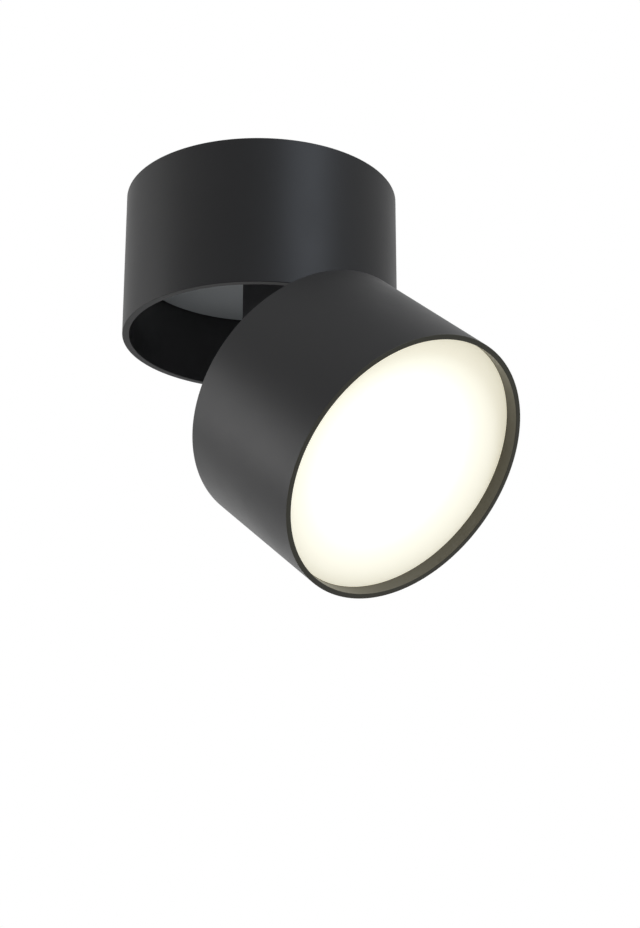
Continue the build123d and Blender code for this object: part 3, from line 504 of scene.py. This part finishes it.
def dry_rubber(name):
    """Black rubber with a pale bloom in patches."""
    material, rubber = start_finish(name)
    place = rubber.node("TexCoord", out="Object")
    bloom = grain(rubber, place, size=RUBBER_BLOOM, detail=4.0)
    skin = grain(rubber, place, size=RUBBER_SKIN, detail=2.0)
    close_finish(rubber, {
        "Base Color": blend(rubber, bloom, RUBBER_BLACK, RUBBER_DUSTY),
        "Roughness": 0.72 + 0.2 * bloom,
        "Specular IOR Level": 0.25,
        "Normal": relief(rubber, skin, depth=RUBBER_RELIEF, strength=0.5),
    })
    return material


dress(dry_rubber("black_rubber"), "hub_grommet", "cable_grommet", "lens_gasket")

# Hinge bracket: a U pressed from sheet steel and coated black. It is screwed up under the turntable near
# the cup's wall, and the hinge pin goes through its two cheeks.
BRACKET_BLACK = (0.030, 0.030, 0.032, 1)
BRACKET_GREY = (0.055, 0.055, 0.058, 1)
bracket_coat = blacked_steel("black_bracket_coat", BRACKET_BLACK, BRACKET_GREY, roughness=0.42)
dress(bracket_coat, "hinge_bracket")

# Hinge arm and rear cover: the cast arm reaches down round the base's rim and is screwed to the cast
# cover that closes the head's back. Both have the drums' matt black powder coat.
dress(black_coat, "hinge_arm", "rear_cover")

# Head drum: the second die-cast drum, turned outside, with inner ledges for the cover and the heat sink.
# The opal disc sits back from the rim in a thin front wall. On the rim and inside that wall the coat is
# painted warm and lighter: painted light from the opal disc's glow.
HEAD_TILT = math.radians(50)
HEAD_RADIUS = 48.65 * MM
HEAD_LENGTH = 56.4 * MM
HEAD_BEHIND_HINGE = 12.7 * MM
HEAD_BORE = 45.15 * MM
HEAD_BACK_MOUTH = 46.75 * MM
HEAD_BACK_CHAMFER = 1.6 * MM
FRONT_BORE = 46.85 * MM
LEDGE_BORE = 40.15 * MM
COVER_LEDGE = (4.5 * MM, 7.5 * MM)
SINK_LEDGE = (21 * MM, 24 * MM)
LENS_SEAT = 47.8 * MM
LEDGE_HOLE_CIRCLE = 42.65 * MM
COVER_HOLE_ANGLES = (45, 135, 225, 315)
SINK_HOLE_ANGLES = (0, 90, 180, 270)
# The front wall and rim colours below are painted light: the warm glow of the opal disc on the black
# coat.
FRONT_PAINTED_GLOW_DARK = (0.052, 0.046, 0.030, 1)
FRONT_PAINTED_GLOW_LIGHT = (0.074, 0.066, 0.045, 1)
RIM_PAINTED_GLOW_DARK = (0.022, 0.021, 0.014, 1)
RIM_PAINTED_GLOW_LIGHT = (0.031, 0.0295, 0.0205, 1)
hinge = Vector(next(joint for joint in frame["joints"] if joint["name"] == "tilt")["pos_m"])
ahead = Vector((math.sin(HEAD_TILT), 0, -math.cos(HEAD_TILT)))
outward = Vector((math.cos(HEAD_TILT), 0, math.sin(HEAD_TILT)))
head_back = hinge + ahead * HEAD_BEHIND_HINGE - outward * hinge.x
head_place = Matrix((outward, ahead.cross(outward), ahead)).transposed().to_4x4()
head_place.translation = head_back
head_drum = turned("head_drum", [
    (HEAD_BACK_MOUTH, 0, CAST_ROUND),
    (HEAD_RADIUS, 0, EDGE_ROUND),
    (HEAD_RADIUS, HEAD_LENGTH, EDGE_ROUND),
    (FRONT_BORE, HEAD_LENGTH, EDGE_ROUND),
    (FRONT_BORE, LENS_SEAT, CAST_ROUND),
    (HEAD_BORE, LENS_SEAT, CAST_ROUND),
    (HEAD_BORE, SINK_LEDGE[1], CAST_ROUND),
    (LEDGE_BORE, SINK_LEDGE[1], CAST_ROUND),
    (LEDGE_BORE, SINK_LEDGE[0], CAST_ROUND),
    (HEAD_BORE, SINK_LEDGE[0], CAST_ROUND),
    (HEAD_BORE, COVER_LEDGE[1], CAST_ROUND),
    (LEDGE_BORE, COVER_LEDGE[1], CAST_ROUND),
    (LEDGE_BORE, COVER_LEDGE[0], CAST_ROUND),
    (HEAD_BORE, COVER_LEDGE[0], CAST_ROUND),
    (HEAD_BORE, HEAD_BACK_CHAMFER, CAST_ROUND),
], head_place)
drill(head_drum, [
    (PIN_HOLE, 2 * (ledge[1] - ledge[0]), head_place
     @ Matrix.Rotation(math.radians(angle), 4, "Z")
     @ Matrix.Translation((LEDGE_HOLE_CIRCLE, 0, (ledge[0] + ledge[1]) / 2)))
    for ledge, angles in ((COVER_LEDGE, COVER_HOLE_ANGLES), (SINK_LEDGE, SINK_HOLE_ANGLES))
    for angle in angles
])
even_shading(head_drum)
# The front wall and rim coats are painted warm and lighter: painted light from the opal disc's glow.
front_painted_glow_coat = powder_coat("front_coat_painted_glow", FRONT_PAINTED_GLOW_DARK, FRONT_PAINTED_GLOW_LIGHT, roughness=0.25, gloss=0.45)
rim_painted_glow_coat = powder_coat("rim_coat_painted_glow", RIM_PAINTED_GLOW_DARK, RIM_PAINTED_GLOW_LIGHT, roughness=0.41, gloss=0.21)
head_drum.data.materials.append(black_coat)
recoat(head_drum, front_painted_glow_coat, head_place, FRONT_BORE + HAIR, LENS_SEAT)
recoat(head_drum, rim_painted_glow_coat, head_place, HEAD_RADIUS, HEAD_LENGTH - EDGE_ROUND)
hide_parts("head_housing")
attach(head_drum, "head")

# Heat sink: a disc of bare aluminium, turned in front and with straight fins behind, which carries the
# light source. Four screws hold it to the drum's inner ledge, so its heat goes into the drum.
SINK_RING_PITCH = 0.4 * MM
SINK_HAZE = 9 * MM
SINK_RELIEF = 0.01 * MM
ALUMINIUM_DULL = (0.66, 0.67, 0.68, 1)
ALUMINIUM_BRIGHT = (0.76, 0.76, 0.77, 1)


def off_axis(tone, place, middle):
    """Distance in metres from a line through middle along the head's axis."""
    reach = tone.node("VectorMath", {"operation": "SUBTRACT"}, {0: place, 1: middle})
    along = tone.node("VectorMath", {"operation": "DOT_PRODUCT"}, {0: reach, 1: ahead}, "Value")
    length = tone.node("VectorMath", {"operation": "LENGTH"}, {0: reach}, "Value")
    return tone.math("SQRT", length * length - along * along)


def turned_aluminium(name, ring_pitch):
    """Bare aluminium with the fine rings that a lathe leaves round the head's axis."""
    material, metal = start_finish(name)
    place = metal.node("TexCoord", out="Object")
    rings = metal.math("SINE", off_axis(metal, place, head_back) * (2 * math.pi / ring_pitch))
    haze = grain(metal, place, size=SINK_HAZE, detail=3.0)
    close_finish(metal, {
        "Base Color": blend(metal, haze, ALUMINIUM_DULL, ALUMINIUM_BRIGHT),
        "Metallic": 1.0,
        "Roughness": 0.3 + 0.15 * haze,
        "Normal": relief(metal, 0.5 + 0.5 * rings, depth=SINK_RELIEF, strength=0.3),
    })
    return material


dress(turned_aluminium("turned_aluminium", SINK_RING_PITCH), "heat_sink")

# Light source: a round aluminium board with white solder resist, screwed to the heat sink. Rings of
# packages with yellow phosphor are soldered to it.
COPPER_PATCH = 9 * MM
RESIST_GRAIN = 1 * MM
RESIST_OVER_COPPER = (0.80, 0.79, 0.75, 1)
RESIST_WHITE = (0.88, 0.88, 0.86, 1)
PHOSPHOR_GRIT = 0.3 * MM
PHOSPHOR_AMBER = (0.80, 0.56, 0.10, 1)
PHOSPHOR_YELLOW = (0.92, 0.74, 0.24, 1)


def solder_resist(name):
    """White solder resist, with faint darker patches where the copper under it shows through."""
    material, resist = start_finish(name)
    place = resist.node("TexCoord", out="Object")
    copper = resist.node("TexVoronoi", {"distance": "CHEBYCHEV"},
                         {"Vector": place, "Scale": 1 / COPPER_PATCH}, "Distance")
    close_finish(resist, {
        "Base Color": blend(resist, copper, RESIST_OVER_COPPER, RESIST_WHITE),
        "Roughness": 0.3 + 0.1 * grain(resist, place, size=RESIST_GRAIN),
    })
    return material


def phosphor(name):
    """Yellow phosphor set in clear silicone."""
    material, glow = start_finish(name)
    place = glow.node("TexCoord", out="Object")
    grit = grain(glow, place, size=PHOSPHOR_GRIT, detail=3.0)
    close_finish(glow, {
        "Base Color": blend(glow, grit, PHOSPHOR_AMBER, PHOSPHOR_YELLOW),
        "Roughness": 0.3 + 0.2 * grit,
    })
    return material


dress(solder_resist("white_solder_resist"), "led_board")
dress(phosphor("yellow_phosphor"), "led_packages")

# Reflector: a cone moulded in white plastic. It runs from the board out to the opal disc, is held by its
# rim under the gasket and sends the light forward.
REFLECTOR_GRAIN = 0.8 * MM
REFLECTOR_DULL = (0.86, 0.86, 0.83, 1)
REFLECTOR_WHITE = (0.92, 0.92, 0.90, 1)
reflector_plastic = moulded_plastic("white_reflector_plastic", REFLECTOR_DULL, REFLECTOR_WHITE,
                                    roughness=0.3, texture=REFLECTOR_GRAIN)
dress(reflector_plastic, "reflector")

# Opal disc: a satin acrylic disc, seated on its gasket in the front of the head and lit from behind. It
# is brightest a little to one side of its middle, and turns cream towards the rim.
OPAL_GLOW = 2.4
OPAL_SHIFT = 3.5 * MM
OPAL_SATIN = 0.6 * MM
OPAL_DULL = (0.78, 0.78, 0.75, 1)
OPAL_WHITE = (0.82, 0.82, 0.80, 1)
OPAL_LIGHT = [
    (0.0, (1.0, 0.92, 0.66, 1)),
    (0.45, (0.72, 0.665, 0.48, 1)),
    (0.64, (0.225, 0.215, 0.172, 1)),
    (0.77, (0.185, 0.174, 0.116, 1)),
    (0.86, (0.168, 0.152, 0.095, 1)),
    (0.93, (0.158, 0.142, 0.087, 1)),
    (1.0, (0.158, 0.142, 0.088, 1)),
]


def lit_opal(name):
    """Opal acrylic lit from behind, by OPAL_LIGHT: pairs of a share of the wall's radius and a colour."""
    material, opal = start_finish(name)
    place = opal.node("TexCoord", out="Object")
    share = off_axis(opal, place, head_back - Vector((0, OPAL_SHIFT, 0))) / FRONT_BORE
    glow = opal.node("ValToRGB", {"stops": OPAL_LIGHT}, {"Fac": share}, "Color")
    satin = grain(opal, place, size=OPAL_SATIN, detail=2.0)
    close_finish(opal, {
        "Base Color": blend(opal, satin, OPAL_DULL, OPAL_WHITE),
        "Roughness": 0.45 + 0.1 * satin,
        "Emission Color": glow,
        "Emission Strength": OPAL_GLOW,
    })
    return material


dress(lit_opal("lit_opal_acrylic"), "diffuser")

# Stage: a pale floor far under the lamp and white studio surroundings. Four soft boxes light the lamp: a
# cool one on the right, a leaning one low on the left, and weak ones behind and above. Their reflections
# run down the two drums.
FLOOR_HEIGHT = -1.3
FLOOR_RADIUS = 4.0
FLOOR_STEPS = 96
FLOOR_FADE = (0.8, 2.6)
FLOOR_PALE = (0.93, 0.93, 0.93, 1)
STUDIO_WHITE = (1, 1, 1, 1)
AMBIENT = 0.57
WHITE_LIGHT = (1.0, 1.0, 1.0)
COOL_LIGHT = (0.80, 0.88, 1.0)
lamp_middle = (Vector(cad_box[0]) + Vector(cad_box[1])) / 2


def seen_directly(tone):
    """1 for rays that see the studio straight, by gloss or through glass, 0 for rays that only light."""
    rays = [tone.node("LightPath", out=f"Is {kind} Ray") for kind in ("Camera", "Glossy", "Transmission")]
    return tone.math("MINIMUM", rays[0] + rays[1] + rays[2], 1.0)


def soft_box(name, azimuth, elevation, distance, width, height, radiance, colour=WHITE_LIGHT, lean=0):
    """A soft box that faces the lamp from an azimuth and elevation, and leans over, all in degrees."""
    around = math.radians(azimuth)
    up = math.radians(elevation)
    way = Vector((math.sin(around) * math.cos(up), -math.cos(around) * math.cos(up), math.sin(up)))
    light = bpy.data.lights.new(name, "AREA")
    light.shape = "RECTANGLE"
    light.size = width
    light.size_y = height
    light.energy = radiance * math.pi * width * height
    light.color = colour
    box = bpy.data.objects.new(name, light)
    box.location = lamp_middle + way * distance
    facing = way.to_track_quat("Z", "Y").to_matrix() @ Matrix.Rotation(math.radians(lean), 3, "Z")
    box.rotation_euler = facing.to_euler()
    bpy.context.scene.collection.objects.link(box)


floor_mesh = bmesh.new()
bmesh.ops.create_circle(floor_mesh, cap_ends=True, segments=FLOOR_STEPS, radius=FLOOR_RADIUS)
floor_data = bpy.data.meshes.new("floor")
floor_mesh.to_mesh(floor_data)
floor_mesh.free()
floor = bpy.data.objects.new("floor", floor_data)
floor.location.z = FLOOR_HEIGHT
bpy.context.scene.collection.objects.link(floor)
floor_paint, paint = start_finish("pale_floor_paint")
spot = paint.node("TexCoord", out="Object")
away = paint.node("VectorMath", {"operation": "LENGTH"}, {0: spot}, "Value")
fade = paint.node("MapRange", {"interpolation_type": "SMOOTHSTEP"},
                  {"Value": away, "From Min": FLOOR_FADE[0], "From Max": FLOOR_FADE[1]})
straight = paint.node("LightPath", out="Is Camera Ray")
pale = paint.node("BsdfDiffuse", None, {"Color": FLOOR_PALE})
white = paint.node("Emission", None, {"Color": STUDIO_WHITE, "Strength": 1.0})
shown_white = seen_directly(paint) * (1 - straight * (1 - fade))
floor_surface = paint.node("MixShader", None, {0: shown_white, 1: pale, 2: white})
paint.node("OutputMaterial", None, {"Surface": floor_surface})
floor_data.materials.append(floor_paint)

studio = bpy.data.worlds.new("white_studio")
studio.use_nodes = True
studio.node_tree.nodes.clear()
walls = Tone(studio.node_tree)
backdrop = walls.node("Background", None, {
    "Color": STUDIO_WHITE,
    "Strength": AMBIENT + (1 - AMBIENT) * seen_directly(walls),
})
walls.node("OutputWorld", None, {"Surface": backdrop})
bpy.context.scene.world = studio

soft_box("right_soft_box", azimuth=81, elevation=27, distance=1.6,
         width=0.75, height=0.8, radiance=7.6, colour=COOL_LIGHT)
soft_box("left_soft_box", azimuth=-51.5, elevation=3.7, distance=1.2,
         width=0.67, height=0.41, radiance=7.8, lean=36)
soft_box("back_soft_box", azimuth=-101, elevation=-3, distance=1.6,
         width=1.7, height=0.5, radiance=0.8)
soft_box("top_soft_box", azimuth=-25, elevation=60, distance=1.6,
         width=1.2, height=1.2, radiance=0.36)

# Camera: below the lamp and to its right front, looking up at the opal disc as the photograph does. Its
# place, aim and lens were fitted to the edges of the two drums in the photograph.
CAMERA_PLACE = Vector((0.437653, -0.469371, -0.329071))
CAMERA_AIM = Vector((0.015126, 0.015876, -0.102403))
CAMERA_LENS = 74.156
CAMERA_SENSOR = 36
CAMERA_NEAR = 0.01
camera_data = bpy.data.cameras.new("camera")
camera_data.lens = CAMERA_LENS
camera_data.sensor_width = CAMERA_SENSOR
camera_data.clip_start = CAMERA_NEAR
camera = bpy.data.objects.new("camera", camera_data)
camera.location = CAMERA_PLACE
camera.rotation_euler = (CAMERA_AIM - CAMERA_PLACE).to_track_quat("-Z", "Y").to_euler()
bpy.context.scene.collection.objects.link(camera)
bpy.context.scene.camera = camera
bpy.context.scene.view_settings.view_transform = "Standard"
